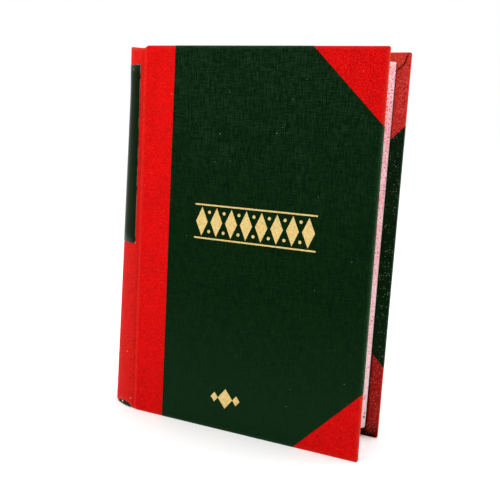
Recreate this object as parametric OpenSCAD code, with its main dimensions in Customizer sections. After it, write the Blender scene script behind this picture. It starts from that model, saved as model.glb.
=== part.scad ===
// Half-bound record book: a sewn, rounded text block in a stiff case with cloth sides,
// a contrasting cloth spine and corners, and a long label on the spine.
// It stands on the tail edges of its two boards. The front cover faces -Y and the spine is at -X.

/* [Text block] */
// Number of sewn sections
section_count = 25; // [15:2:29]
// Thickness of one sewn section
section_t = 2.12; // [1.6:0.02:2.6]
// Height of a leaf, tail to head
page_h = 334; // [260:1:400]
// Width of a leaf, fold to fore-edge
page_w = 220; // [160:0.5:260]
// How far the rounded back stands out in the middle, which also hollows the fore-edge
round_rise = 18; // [10:0.5:20]
// Thickness of a flyleaf or a single leaf
leaf_t = 0.2; // [0.15:0.05:0.3]
// Thickness of the paper pasted inside each cover
pastedown_t = 0.2; // [0.15:0.05:0.3]
// Gap between neighbouring leaves, sections and linings
leaf_gap = 0.1; // [0.08:0.01:0.15]
// Distance from the board's hinge edge to where the single leaves start
leaf_start = 0.5; // [0.4:0.1:3]

/* [Cover] */
// Thickness of the stiff board
board_t = 2.5; // [2:0.1:3.5]
// Thickness of the covering cloth
cloth_t = 0.4; // [0.3:0.05:0.5]
// How far the cover stands past the leaves at the head
head_square = 6.6; // [4:0.2:10]
// How far the cover stands past the leaves at the tail
tail_square = 9.4; // [6:0.2:12]
// How far the cover stands past the leaves at the fore-edge
fore_square = 11.5; // [6:0.5:14]
// Width of the spine cloth on each board
strip_w = 31; // [20:1:50]
// Length of a corner piece along the board's edge
corner_leg = 63; // [40:1:80]
// Width of the cloth turned in over the board's edges
turn_in = 16; // [13:0.5:22]

/* [Spine] */
// Width of the groove between the spine and a board
groove_w = 3.2; // [2.6:0.1:4.5]
// How far the spine's shoulder lies below the board's outer face
spine_step = 2; // [1.6:0.1:2.4]
// Depth of the hinge line below the board's outer face
hinge_sink = 0.35; // [0.2:0.05:0.5]
// Thickness of the curved card in the spine
spine_card_t = 1.1; // [0.8:0.1:1.3]
// Distance from the fold's centre in the first section to the board's hinge edge
first_fold = 1.9; // [1.4:0.1:2.4]
// How far the spine stays above the tail of the boards
spine_tail_gap = 4; // [2:0.5:7]
// How far the spine stays below the head of the boards
spine_head_gap = 0.6; // [0.2:0.2:4]
// Height of the label
label_h = 168; // [80:1:220]
// Distance from the label's top to the boards' head
label_drop = 17; // [10:1:40]
// Thickness of the label
label_t = 0.3; // [0.2:0.05:0.4]
// Angle that the label wraps to each side of the spine's middle
label_wrap = 84; // [50:1:86]

/* [Sewing and linings] */
// Number of tapes that the sections are sewn on
tape_count = 4; // [3:1:6]
// Width of a tape
tape_w = 14; // [10:1:18]
// Thickness of a tape
tape_t = 0.5; // [0.4:0.1:0.7]
// Diameter of the sewing thread
thread_d = 0.5; // [0.4:0.1:0.7]
// Thickness of the open-weave cloth glued over the back
mull_t = 0.3; // [0.2:0.05:0.4]
// Thickness of the paper lining over the back
lining_t = 0.4; // [0.3:0.1:0.5]
// Half width of the back that the linings and tapes cover
lining_half = 24; // [15:0.5:24]
// Thickness of the head and tail bands
band_d = 2.6; // [2:0.2:3.2]

/* [Gilt ornament] */
// Width of the ornament band on the front cover
ornament_w = 119; // [80:1:130]
// Height of the ornament band
ornament_h = 32; // [20:1:50]
// Height of the band's middle above the tail
ornament_z = 194; // [150:1:220]
// Distance from the hinge edge to the band's middle
ornament_x = 118; // [100:1:130]
// Number of lozenges in the band
lozenge_count = 8; // [4:1:10]
// Width of the rules above and below the lozenges
rule_w = 1.4; // [0.8:0.1:2.5]
// Height of the small ornament's middle above the tail
mark_z = 31; // [28:1:60]
// Distance from the hinge edge to the small ornament's middle
mark_x = 98.5; // [80:0.5:130]
// Width of the small ornament
mark_w = 30; // [16:1:40]
// Height of the small ornament
mark_h = 19; // [10:1:22]
// Thickness of the gilt
foil_t = 0.1; // [0.05:0.01:0.16]

/* [Hidden] */
$fn = 64;
// Slack that keeps glued curved faces from cutting into each other
glue_gap = 0.05;
// Length by which a cutting solid runs past what it cuts
past = 1;

leaves_a_side = 3;
section_pitch = section_t + leaf_gap;
block_half = section_count * section_pitch / 2 - leaf_gap / 2;
leaf_pitch = leaf_t + leaf_gap;
cover_t = board_t + 2 * cloth_t;
// Half of the whole thickness: sections, single leaves, flyleaf, pastedown and cover
half_t = block_half + (leaves_a_side + 1) * leaf_pitch + leaf_gap + pastedown_t + cover_t;

cover_h = tail_square + page_h + head_square;
// Places along X are counted from the boards' hinge edge
leaf_end = page_w - first_fold - section_t / 2;
board_w = leaf_end + fore_square;

// The spine is a half cylinder whose ends lie at the groove
spine_r = half_t - spine_step;
card_r = spine_r - cloth_t - glue_gap;
card_inner_r = card_r - spine_card_t;
label_r = spine_r + glue_gap + label_t;
spine_low = spine_tail_gap;
spine_high = cover_h - spine_head_gap;

// The groove's cloth is an arc from the spine's end to the board's edge, around the hinge line
groove_run = groove_w - cloth_t / 2 - glue_gap;
groove_fall = spine_step + cloth_t / 2 - hinge_sink;
groove_r = (groove_run * groove_run + groove_fall * groove_fall) / (2 * groove_run);
hinge_x = -(groove_r + cloth_t / 2 + glue_gap);
hinge_y = half_t - hinge_sink;

// The folds' centres lie on an arc, and every section is equally wide
fold_half = block_half - section_t / 2;
fold_r = (fold_half * fold_half + round_rise * round_rise) / (2 * round_rise);
fold_centre_x = -first_fold + fold_r - round_rise;
back_r = fold_r + section_t / 2;
tape_r = back_r + leaf_gap;
stitch_r = tape_r + tape_t + leaf_gap + thread_d / 2;
mull_r = stitch_r + thread_d / 2 + leaf_gap;
lining_r = mull_r + mull_t + glue_gap;

// The origin is under the middle of the whole book
origin_shift = -(board_w - groove_w - label_r) / 2;

function section_y(k) = (k - (section_count + 1) / 2) * section_pitch;
function fold_x(k) = fold_centre_x - sqrt(fold_r * fold_r - section_y(k) * section_y(k));
function two_digits(k) = str(k < 10 ? "0" : "", k);
function section_name(k) = str("section_", two_digits(k));
// Distance from the middle plane to the outer face of a single leaf; the flyleaf is the last one
function leaf_y(n) = block_half + n * leaf_pitch;

SECTION_NODES = [for (k = [1 : section_count]) section_name(k)];
LEAF_NODES = [for (n = [1 : leaves_a_side]) for (side = ["front", "back"]) str(side, "_leaf_", n)];
COVER_PIECES = ["board", "side_cloth", "spine_strip", "head_corner", "tail_corner", "pastedown",
    "flyleaf", "joint_cloth"];
COVER_NODES = [for (side = ["front", "back"]) for (piece = COVER_PIECES) str(side, "_", piece)];
SPINE_NODES = ["sewing_tapes", "sewing_thread", "mull", "spine_lining", "head_band", "tail_band",
    "spine_card", "spine_cloth", "spine_label"];

red_cloth = "#d8191a";
green_cloth = "#11281a";
gilt = "#dfc27a";
paper = "#f3ead6";
edge_pink = "#f3c3cc";
greyboard = "#a89f92";

// Puts children on the front or the back side of the book, counted from the hinge edge
module on_side(side) {
    mirror([0, side == "back" ? 1 : 0, 0])
        translate([origin_shift, 0, 0])
            children();
}

// Turns an outline in X and Z into a slab between two depths below the cover's outer face
module face_slab(depth, thickness) {
    translate([0, -half_t + depth + thickness, 0])
        rotate([90, 0, 0])
            linear_extrude(thickness)
                children();
}

// The stiff board, bare at the hinge edge and wrapped on the other three
module board_solid() {
    translate([0, -half_t + cloth_t, cloth_t])
        cube([board_w - cloth_t, board_t, cover_h - 2 * cloth_t]);
}

// All the cloth on one cover: its face, the wrapped edges and the frame of turn-ins
module cover_wrap() {
    difference() {
        translate([0, -half_t, 0])
            cube([board_w, cover_t, cover_h]);
        translate([-past, -half_t + cloth_t, cloth_t])
            cube([board_w - cloth_t + past, board_t, cover_h - 2 * cloth_t]);
        translate([-past, -half_t + cover_t - cloth_t - past, turn_in])
            cube([board_w - turn_in + past, cloth_t + 2 * past, cover_h - 2 * turn_in]);
    }
}

// Outline of a corner piece on the outer face, at the head
module corner_outside() {
    polygon([[board_w - corner_leg, cover_h], [board_w + corner_leg, cover_h],
        [board_w + corner_leg, cover_h - 2 * corner_leg]]);
}

// Outline of the same piece where it is turned in: its cut edge runs on across the fold
module corner_inside() {
    reach = turn_in + past;
    polygon([[board_w - corner_leg, cover_h], [board_w - corner_leg - reach, cover_h - reach],
        [board_w - reach, cover_h - corner_leg - reach], [board_w, cover_h - corner_leg],
        [board_w + past, cover_h - corner_leg], [board_w + past, cover_h]]);
}

// The room of a corner piece through the cover's whole thickness
module corner_room() {
    outer_depth = cloth_t + board_t / 2;
    face_slab(-past, outer_depth + past) corner_outside();
    face_slab(outer_depth, cover_t - outer_depth + past) corner_inside();
}

module at_tail() {
    translate([0, 0, cover_h])
        mirror([0, 0, 1])
            children();
}

module strip_room() {
    translate([-past, -half_t - past, -past])
        cube([strip_w + past, cover_t + 2 * past, cover_h + 2 * past]);
}

module board(side) {
    color(greyboard)
        on_side(side)
            board_solid();
}

module side_cloth(side) {
    color(green_cloth)
        on_side(side)
            difference() {
                cover_wrap();
                strip_room();
                corner_room();
                at_tail() corner_room();
            }
}

module spine_strip(side) {
    color(red_cloth)
        on_side(side)
            intersection() {
                cover_wrap();
                strip_room();
            }
}

module corner(side, end) {
    color(red_cloth)
        on_side(side)
            intersection() {
                cover_wrap();
                if (end == "head")
                    corner_room();
                else
                    at_tail() corner_room();
            }
}

// The pasted paper lies on the turn-ins and is pressed down onto the board between them
module pastedown(side) {
    color(paper)
        on_side(side) {
            translate([leaf_start, -half_t + cover_t, tail_square])
                cube([leaf_end - leaf_start, pastedown_t, page_h]);
            translate([leaf_start, -half_t + cover_t - cloth_t, turn_in])
                cube([board_w - turn_in - leaf_start, cloth_t, cover_h - 2 * turn_in]);
        }
}

// A single sheet, counted from the text block outwards
module sheet(side, n) {
    color(paper)
        on_side(side)
            translate([leaf_start, -leaf_y(n), tail_square])
                cube([leaf_end - leaf_start, leaf_t, page_h]);
}

module flyleaf(side) {
    sheet(side, leaves_a_side + 1);
}

// Cloth in the groove, which bends around the hinge line as the cover opens
module joint_cloth(side) {
    color(red_cloth)
        on_side(side)
            translate([0, 0, spine_low])
                linear_extrude(spine_high - spine_low)
                    intersection() {
                        translate([hinge_x, -hinge_y])
                            difference() {
                                circle(groove_r + cloth_t / 2);
                                circle(groove_r - cloth_t / 2);
                            }
                        translate([-groove_w, -half_t + cloth_t / 2])
                            square([groove_w, half_t]);
                    }
}

module lozenge(width, height) {
    polygon([[-width / 2, 0], [0, -height / 2], [width / 2, 0], [0, height / 2]]);
}

// A band of lozenges and dots between two rules, and a small lozenge group near the tail
module gilt_outline() {
    pitch = ornament_w / lozenge_count;
    field_h = ornament_h - 4 * rule_w;
    dot_r = pitch / 10;
    dot_rise = field_h / 3;
    translate([ornament_x, ornament_z]) {
        for (end = [-1, 1])
            translate([0, end * (ornament_h - rule_w) / 2])
                square([ornament_w, rule_w], center = true);
        for (i = [0 : lozenge_count - 1])
            translate([(i - (lozenge_count - 1) / 2) * pitch, 0])
                lozenge(pitch * 0.8, field_h);
        for (i = [1 : lozenge_count - 1])
            for (end = [-1, 1])
                translate([(i - lozenge_count / 2) * pitch, end * dot_rise])
                    circle(dot_r);
    }
    translate([mark_x, mark_z]) {
        lozenge(mark_w / 2, mark_h);
        for (end = [-1, 1])
            translate([end * mark_w * 3 / 8, 0])
                lozenge(mark_w / 4, mark_h / 2);
    }
}

module front_gilt() {
    color(gilt)
        on_side("front")
            face_slab(-foil_t, foil_t) gilt_outline();
}

// A wall of a half cylinder around the spine's axis, open towards the boards
module spine_wall(outer_r, inner_r, height) {
    linear_extrude(height)
        intersection() {
            difference() {
                circle(outer_r);
                circle(inner_r);
            }
            translate([-outer_r - past, -outer_r - past])
                square([outer_r + past, 2 * (outer_r + past)]);
        }
}

module at_spine(z) {
    translate([origin_shift - groove_w, 0, z])
        children();
}

module spine_card() {
    color(greyboard)
        at_spine(spine_low + cloth_t)
            spine_wall(card_r, card_inner_r, spine_high - spine_low - 2 * cloth_t);
}

// Cloth over the spine, folded in around the card at the head and the tail
module spine_cloth() {
    fold_in_r = card_inner_r - glue_gap;
    color(red_cloth) {
        at_spine(spine_low)
            spine_wall(spine_r, card_r + glue_gap, spine_high - spine_low);
        for (z = [spine_low, spine_high - cloth_t])
            at_spine(z)
                spine_wall(spine_r, fold_in_r - cloth_t, cloth_t);
        for (z = [spine_low, spine_high - turn_in])
            at_spine(z)
                spine_wall(fold_in_r, fold_in_r - cloth_t, turn_in);
    }
}

module spine_label() {
    color(green_cloth)
        at_spine(cover_h - label_drop - label_h)
            rotate([0, 0, 180 - label_wrap])
                rotate_extrude(angle = 2 * label_wrap)
                    translate([spine_r + glue_gap, 0])
                        square([label_t, label_h]);
}

// An arched layer behind the folds, as wide as the linings
module back_layer(inner_r, thickness, height) {
    half_angle = asin(lining_half / inner_r);
    translate([origin_shift + fold_centre_x, 0, 0])
        rotate([0, 0, 180 - half_angle])
            rotate_extrude(angle = 2 * half_angle)
                translate([inner_r, 0])
                    square([thickness, height]);
}

function tape_z(i) = tail_square + page_h * (i + 0.5) / tape_count - tape_w / 2;

module sewing_tapes() {
    color("#d9d2bd")
        for (i = [0 : tape_count - 1])
            translate([0, 0, tape_z(i)])
                back_layer(tape_r, tape_t, tape_w);
}

// One stitch of every section over every tape
module sewing_thread() {
    stitch_h = tape_w + 4 * thread_d;
    color("#efe7d2")
        for (i = [0 : tape_count - 1])
            for (k = [1 : section_count])
                if (abs(section_y(k)) < lining_half)
                    translate([origin_shift + fold_centre_x, 0, tape_z(i) - 2 * thread_d])
                        rotate([0, 0, 180 - asin(section_y(k) / fold_r)])
                            translate([stitch_r, 0, 0])
                                cylinder(d = thread_d, h = stitch_h);
}

module mull() {
    color("#e2dcc8")
        translate([0, 0, tail_square + tape_w])
            back_layer(mull_r, mull_t, page_h - 2 * tape_w);
}

module spine_lining() {
    color("#b99a6b")
        translate([0, 0, tail_square])
            back_layer(lining_r, lining_t, page_h);
}

// A corded band that sits on the ends of the folds
module end_band(z) {
    half_angle = asin(lining_half / fold_r);
    color(red_cloth)
        translate([origin_shift + fold_centre_x, 0, z])
            rotate([0, 0, 180 - half_angle])
                rotate_extrude(angle = 2 * half_angle)
                    translate([fold_r, 0])
                        circle(d = band_d);
}

module head_band() {
    end_band(tail_square + page_h + band_d / 2 + glue_gap);
}

module tail_band() {
    end_band(tail_square - band_d / 2 - glue_gap);
}

// A section of folded sheets with a round fold at its back
module section(k) {
    color(edge_pink)
        translate([origin_shift, section_y(k), tail_square])
            linear_extrude(page_h) {
                translate([fold_x(k), 0])
                    circle(d = section_t);
                translate([fold_x(k), -section_t / 2])
                    square([page_w - section_t / 2, section_t]);
            }
}

for (side = ["front", "back"]) {
    board(side);
    side_cloth(side);
    spine_strip(side);
    corner(side, "head");
    corner(side, "tail");
    pastedown(side);
    flyleaf(side);
    joint_cloth(side);
    for (n = [1 : leaves_a_side])
        sheet(side, n);
}
for (k = [1 : section_count])
    section(k);
front_gilt();
sewing_tapes();
sewing_thread();
mull();
spine_lining();
head_band();
tail_band();
spine_card();
spine_cloth();
spine_label();
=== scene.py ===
# %% [markdown]
# # A half-bound record book
# The book stands closed on a pale floor. Dark green linen covers its boards, and red cloth covers its
# spine, its corners and a strip of each board beside the spine. The construction comes in as a fixed
# frame, at its real size in metres. Every cell below dresses one part of that frame, so nothing has to be
# fitted afterwards.

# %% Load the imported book
import math

import bmesh
import bpy
from mathutils import Matrix, Vector


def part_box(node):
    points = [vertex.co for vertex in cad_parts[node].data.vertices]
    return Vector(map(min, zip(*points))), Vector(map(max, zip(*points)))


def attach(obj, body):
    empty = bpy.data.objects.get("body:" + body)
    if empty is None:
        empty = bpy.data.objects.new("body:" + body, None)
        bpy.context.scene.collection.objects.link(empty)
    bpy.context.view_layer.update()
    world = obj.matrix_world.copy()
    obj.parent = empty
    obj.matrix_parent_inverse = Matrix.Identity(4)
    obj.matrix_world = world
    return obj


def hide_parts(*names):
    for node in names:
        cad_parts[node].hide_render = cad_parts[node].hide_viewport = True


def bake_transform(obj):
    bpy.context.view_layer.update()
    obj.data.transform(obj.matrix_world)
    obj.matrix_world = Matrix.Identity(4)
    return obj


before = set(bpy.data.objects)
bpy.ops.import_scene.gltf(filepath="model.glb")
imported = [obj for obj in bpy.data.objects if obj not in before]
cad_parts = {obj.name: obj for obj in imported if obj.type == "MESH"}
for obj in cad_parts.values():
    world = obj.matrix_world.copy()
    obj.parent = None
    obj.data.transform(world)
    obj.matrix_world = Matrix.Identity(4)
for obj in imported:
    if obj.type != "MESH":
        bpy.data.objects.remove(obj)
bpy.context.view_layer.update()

# %% [markdown]
# ## Measures
# Sizes are read off the frame's own boxes wherever a node gives them. A side of the book is a sign: the
# front cover faces -Y and the back cover faces +Y, so one function can make a piece for both.

# %% Measures from the frame
MM = 0.001
SIDES = {"front": -1.0, "back": 1.0}

cloth_low, cloth_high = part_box("front_side_cloth")
strip_low, strip_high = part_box("front_spine_strip")
spine_low, spine_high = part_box("spine_cloth")

hinge_edge = strip_low.x
strip_edge = strip_high.x
fore_edge = cloth_high.x
cover_tail = cloth_low.z
cover_head = cloth_high.z
cover_mid = (cover_tail + cover_head) / 2
half_t = -strip_low.y
cover_t = strip_high.y - strip_low.y
spine_axis = spine_high.x
spine_r = spine_high.x - spine_low.x
leaf_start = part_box("back_flyleaf")[0].x
leaf_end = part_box("back_flyleaf")[1].x

print(f"cover {fore_edge - hinge_edge:.4f} x {cover_head - cover_tail:.4f} m, {cover_t:.4f} m thick")
print(f"spine radius {spine_r:.4f} m")

# %% [markdown]
# ## Camera
# The camera was found by fitting a pinhole to corners that show in the picture. It is written as an eye
# point and three turns: to the left, downwards and around the line of sight. The last one is there because
# the picture leans.

# %% Camera
PICTURE = 500
FOCAL_PIXELS = 754.3
SENSOR = 36.0
EYE = Vector((298.4, -633.2, 277.0)) * MM
YAW, PITCH, ROLL = (math.radians(turn) for turn in (24.98, 8.91, 3.12))

camera_data = bpy.data.cameras.new("camera")
camera_data.sensor_width = SENSOR
camera_data.lens = FOCAL_PIXELS / PICTURE * SENSOR
camera_data.clip_start = 10 * MM
camera = bpy.data.objects.new("camera", camera_data)
level = Matrix.Rotation(math.pi / 2, 4, "X")
aim = Matrix.Rotation(YAW, 4, "Z") @ level @ Matrix.Rotation(-PITCH, 4, "X") @ Matrix.Rotation(ROLL, 4, "Z")
camera.matrix_world = Matrix.Translation(EYE) @ aim
bpy.context.scene.collection.objects.link(camera)
bpy.context.scene.camera = camera
print("lens", round(camera_data.lens, 2), "mm")

# %% [markdown]
# ## Nodes
# World, finishes and trees are all made of nodes. `add` puts a node of any kind into a tree and `fill` sets
# its inputs, so a cell says only what is special about the node. A node that is given as an input stands for
# its first output in use, and a text stands for a colour.

# %% Colours
def linear(hex_colour):
    """An sRGB hex colour as the linear red, green, blue and alpha that Blender's sockets take."""
    parts = [int(hex_colour[k:k + 2], 16) / 255 for k in (1, 3, 5)]
    return [p / 12.92 if p <= 0.04045 else ((p + 0.055) / 1.055) ** 2.4 for p in parts] + [1.0]


# %% Adding a node and filling its inputs
def fill(tree, node, inputs):
    """Fills a node's inputs, in order or by name, with links, colours or plain values."""
    if not isinstance(inputs, dict):
        inputs = dict(enumerate(inputs))
    for key, value in inputs.items():
        named = (socket for socket in node.inputs if socket.enabled and socket.name == key)
        socket = node.inputs[key] if isinstance(key, int) else next(named)
        if isinstance(value, bpy.types.Node):
            value = next(output for output in value.outputs if output.enabled)
        if isinstance(value, bpy.types.NodeSocket):
            tree.links.new(value, socket)
        else:
            socket.default_value = linear(value) if isinstance(value, str) else value


def add(tree, kind, inputs=(), stops=(), **settings):
    """Adds a node with its settings, its inputs and, for a colour ramp, its places and colours."""
    node = tree.nodes.new(kind)
    for key, value in settings.items():
        setattr(node, key, value)
    for k, (position, colour) in enumerate(stops):
        node.color_ramp.elements[k].position = position
        node.color_ramp.elements[k].color = linear(colour)
    fill(tree, node, inputs)
    return node


# %% [markdown]
# ## Floor and light
# The picture is a bright studio shot: a white sweep and soft light, with only a breath of shadow where the
# boards meet the floor. The inside of the back board is in shade, though, so the room in front of the book
# was dim. The world is therefore white behind the book and darker in front of it, but a view sees white
# above the floor on every side. A broad sun from above makes the floor white, two area lights near the
# book brighten its upper half, and a third shines on the edges of the leaves. The floor glows a little, as
# a lit sweep does, which keeps the shadow beside the book faint.

# %% World
DIM_SIDE = Vector((0.25, -0.97, 0.0))
DIM_FROM, DIM_TO = -0.3, 0.6
DIM_STRENGTH = 0.25

scene = bpy.context.scene
scene.view_settings.view_transform = "Standard"
world = bpy.data.worlds.new("white_studio")
world.use_nodes = True
studio = world.node_tree
way = add(studio, "ShaderNodeTexCoord").outputs["Generated"]
aside = add(studio, "ShaderNodeVectorMath", (way, DIM_SIDE), operation="DOT_PRODUCT")
dimmed = add(studio, "ShaderNodeMapRange", {"Value": aside, "From Min": DIM_FROM, "From Max": DIM_TO,
                                            "To Min": 1.0, "To Max": DIM_STRENGTH})
backdrop = add(studio, "ShaderNodeLightPath").outputs["Is Camera Ray"]
bright = add(studio, "ShaderNodeMath", (dimmed, backdrop), operation="MAXIMUM")
fill(studio, studio.nodes["Background"], {"Color": "#FFFFFF", "Strength": bright})
scene.world = world
print("world", world.name)

# %% Floor
FLOOR_SIZE = 60.0
floor_mesh = bpy.data.meshes.new("floor")
corners = [(x * FLOOR_SIZE / 2, y * FLOOR_SIZE / 2, 0.0) for x, y in ((-1, -1), (1, -1), (1, 1), (-1, 1))]
floor_mesh.from_pydata(corners, [], [(0, 1, 2, 3)])
floor = bpy.data.objects.new("floor", floor_mesh)
scene.collection.objects.link(floor)
floor_paint = bpy.data.materials.new("matt_white_sweep")
floor_paint.use_nodes = True
fill(floor_paint.node_tree, floor_paint.node_tree.nodes["Principled BSDF"], {
    "Base Color": "#F9F9F8", "Roughness": 0.9, "Specular IOR Level": 0.1,
    "Emission Color": "#FFFFFF", "Emission Strength": 0.055})
floor_mesh.materials.append(floor_paint)
print("floor", FLOOR_SIZE, "m wide")

# %% Lights
AIM_POINT = Vector((0.0, 0.0, 0.17))
AREA_LIGHTS = {
    "key_left": ((-0.7, -0.95, 1.0), 0.8, 4.55),
    "top_soft": ((0.25, -0.1, 1.15), 0.6, 2.2),
    "fore_edge_glow": ((1.0, 0.35, 0.2), 0.6, 4.9),
}
WINDOW_FROM = Vector((-0.2, -0.3, 0.93))
WINDOW_STRENGTH = 1.45
WINDOW_ANGLE = math.radians(80)


def aimed_lamp(data, place):
    """Puts a light at a place and turns it to the book."""
    lamp = bpy.data.objects.new(data.name, data)
    lamp.location = place
    lamp.rotation_euler = (AIM_POINT - Vector(place)).to_track_quat("-Z", "Y").to_euler()
    scene.collection.objects.link(lamp)


for name, (place, size, watts) in AREA_LIGHTS.items():
    lamp_data = bpy.data.lights.new(name, "AREA")
    lamp_data.size = size
    lamp_data.energy = watts
    aimed_lamp(lamp_data, place)
window = bpy.data.lights.new("window", "SUN")
window.energy = WINDOW_STRENGTH
window.angle = WINDOW_ANGLE
aimed_lamp(window, AIM_POINT + WINDOW_FROM)
print("lights:", ", ".join(AREA_LIGHTS), "and", window.name)

# %% [markdown]
# ## Finishes
# Every finish starts from what the real one is. A small function opens a material with its shader and hands
# back the object coordinates, in metres. Pattern sizes are then real sizes in millimetres, turned into a
# scale by `per`. A second function closes the material: it lays coats of colour over the first one, each
# through a mask of its own, and adds the relief.

# %% Opening and closing a material
def per(millimetres):
    """The scale that makes a pattern's unit this long."""
    return 1.0 / (millimetres * MM)


def new_material(name):
    """A material with an empty shader, and its tree, shader and object coordinates."""
    made = bpy.data.materials.new(name)
    made.use_nodes = True
    tree = made.node_tree
    shader = tree.nodes["Principled BSDF"]
    place = add(tree, "ShaderNodeTexCoord").outputs["Object"]
    return made, tree, shader, place


def stretched_noise(tree, place, sizes_mm, detail, roughness=0.5):
    """Noise with a unit of its own size along X, Y and Z, in millimetres."""
    scales = [per(size) for size in sizes_mm]
    local = add(tree, "ShaderNodeMapping", {"Vector": place, "Scale": scales})
    return add(tree, "ShaderNodeTexNoise",
               {"Vector": local, "Scale": 1.0, "Detail": detail, "Roughness": roughness})


def close_material(tree, shader, colour, coats, height, strength, depth_mm, constants):
    """Lays coats over a colour, each a mask and a colour, and adds a relief and what is the same all over."""
    for mask, coat in coats:
        colour = add(tree, "ShaderNodeMix", {"Factor": mask, "A": colour, "B": coat}, data_type="RGBA")
    bump = add(tree, "ShaderNodeBump", {"Height": height, "Strength": strength, "Distance": depth_mm * MM})
    fill(tree, shader, {"Base Color": colour, "Normal": bump, **constants})


# %% [markdown]
# ### Dots
# Dust on the cloth and the sprinkled edges of the leaves are both dots of many sizes. A Voronoi pattern
# gives one dot to a cell, and the cell's own random colour decides how large it is, or whether it is there
# at all. A few single marks that use has left, such as a smudge on the cloth, are soft round spots at a
# place of their own.

# %% A mask of dots
DOT_BLUR = 0.1
DUST_CELL_MM = 1.3
DUST_RADIUS = 0.3
BARE_OUTSIDE, BARE_INSIDE = 0.996, 0.25


def sprinkle(tree, place, cell_mm, bare, radius):
    """A mask of dots: one to a cell, up to this radius of a cell. This share of the cells stays bare."""
    cells = add(tree, "ShaderNodeTexVoronoi",
                {"Vector": place, "Scale": per(cell_mm), "Randomness": 1.0}).outputs
    pick = add(tree, "ShaderNodeSeparateColor", {"Color": cells["Color"]})
    size = add(tree, "ShaderNodeMapRange", {"Value": pick, "From Min": bare, "To Max": radius})
    within = add(tree, "ShaderNodeMath", (size, cells["Distance"]), operation="SUBTRACT")
    return add(tree, "ShaderNodeMapRange", {"Value": within, "From Max": DOT_BLUR})


def dust(tree, place, strength):
    """A mask of specks: a few outside, and many where the vertex attribute `inside` is 1."""
    inside = add(tree, "ShaderNodeAttribute", attribute_name="inside").outputs["Fac"]
    bare = add(tree, "ShaderNodeMapRange", {"Value": inside, "To Min": BARE_OUTSIDE, "To Max": BARE_INSIDE})
    specks = sprinkle(tree, place, DUST_CELL_MM, bare, DUST_RADIUS)
    return add(tree, "ShaderNodeMath", (specks, strength), operation="MULTIPLY")


# %% Single marks
RAGGED_MM = 1.2
MARK_START, MARK_FULL = 1.1, 0.7


def mark_coats(tree, place, marks):
    """A coat for each ragged spot. A mark is a place and a size in millimetres, a colour and a strength."""
    coats = []
    ragged = add(tree, "ShaderNodeTexNoise", {"Vector": place, "Scale": per(RAGGED_MM), "Detail": 2.0})
    for spot, size_mm, stain, strength in marks:
        size = size_mm * MM
        away = add(tree, "ShaderNodeVectorMath", (place, Vector(spot) * MM), operation="DISTANCE")
        reach = add(tree, "ShaderNodeMath", (ragged, size, away), operation="MULTIPLY_ADD")
        soft = add(tree, "ShaderNodeMapRange", {"Value": reach, "From Min": MARK_START * size,
                                                "From Max": MARK_FULL * size, "To Max": strength})
        coats.append((soft, stain))
    return coats


# %% [markdown]
# ### Red book cloth
# The red is a starch-filled cotton cloth. The filling hides most of the weave and leaves a fine mottled
# grain, a little deeper in the hollows, with painted highlights on the nubs of the threads. Painted light
# makes its upper part lighter, most of all near the spine. Darker smudges lie over it, and the spine is
# darker below its label. What hands and shelves rub turns paler and more orange, in upright streaks with
# dirt between them. Three vertex attributes steer the wear and the painted shade: `worn` is 1 along the
# boards' edges, `crease` is 1 where a fold is painted dark as shade, and `inside` is 1 on the folded-in
# part. That part is duller, with painted shade that darkens it towards the tail, most of all near the tail
# and beside the leaves.

# %% Red cloth outside and inside
def outer_coats(tree, noise, where, uneven):
    """Painted light near the head and spine, darker smudges, a darker low spine and painted highlights on the
    nubs.
    """
    # Painted light: the cloth is lighter towards the head and the spine, as if lit from the upper left.
    near_spine = add(tree, "ShaderNodeMath", (where["X"], -1.6, uneven), operation="MULTIPLY_ADD")
    painted_top_light = add(tree, "ShaderNodeMapRange",
                 {"Value": near_spine, "From Min": 0.23, "From Max": 0.63, "To Max": 0.9})
    patchy = add(tree, "ShaderNodeMath", (painted_top_light, noise["grain"]), operation="MULTIPLY")
    # Darker smudges at random, and the spine darker below its label.
    smudges = add(tree, "ShaderNodeMapRange",
                  {"Value": noise["smudge"], "From Min": 0.52, "From Max": 0.32, "To Max": 0.35})
    on_spine = add(tree, "ShaderNodeMapRange",
                   {"Value": where["X"], "From Min": hinge_edge, "From Max": hinge_edge - 2 * MM})
    low_down = add(tree, "ShaderNodeMapRange",
                   {"Value": where["Z"], "From Min": 320 * MM, "From Max": 220 * MM, "To Max": 0.27})
    smudged_and_darker_low = add(tree, "ShaderNodeMath", (on_spine, low_down, smudges), operation="MULTIPLY_ADD")
    # Painted highlight: the nubs of the grain are paler, as if they catch the light.
    nub_highlight = add(tree, "ShaderNodeMapRange",
                 {"Value": noise["grain"], "From Min": 0.51, "From Max": 0.65, "To Max": 0.27})
    return [(patchy, "#EA0808"), (smudged_and_darker_low, "#A80306"), (nub_highlight, "#F0483A")]


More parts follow.
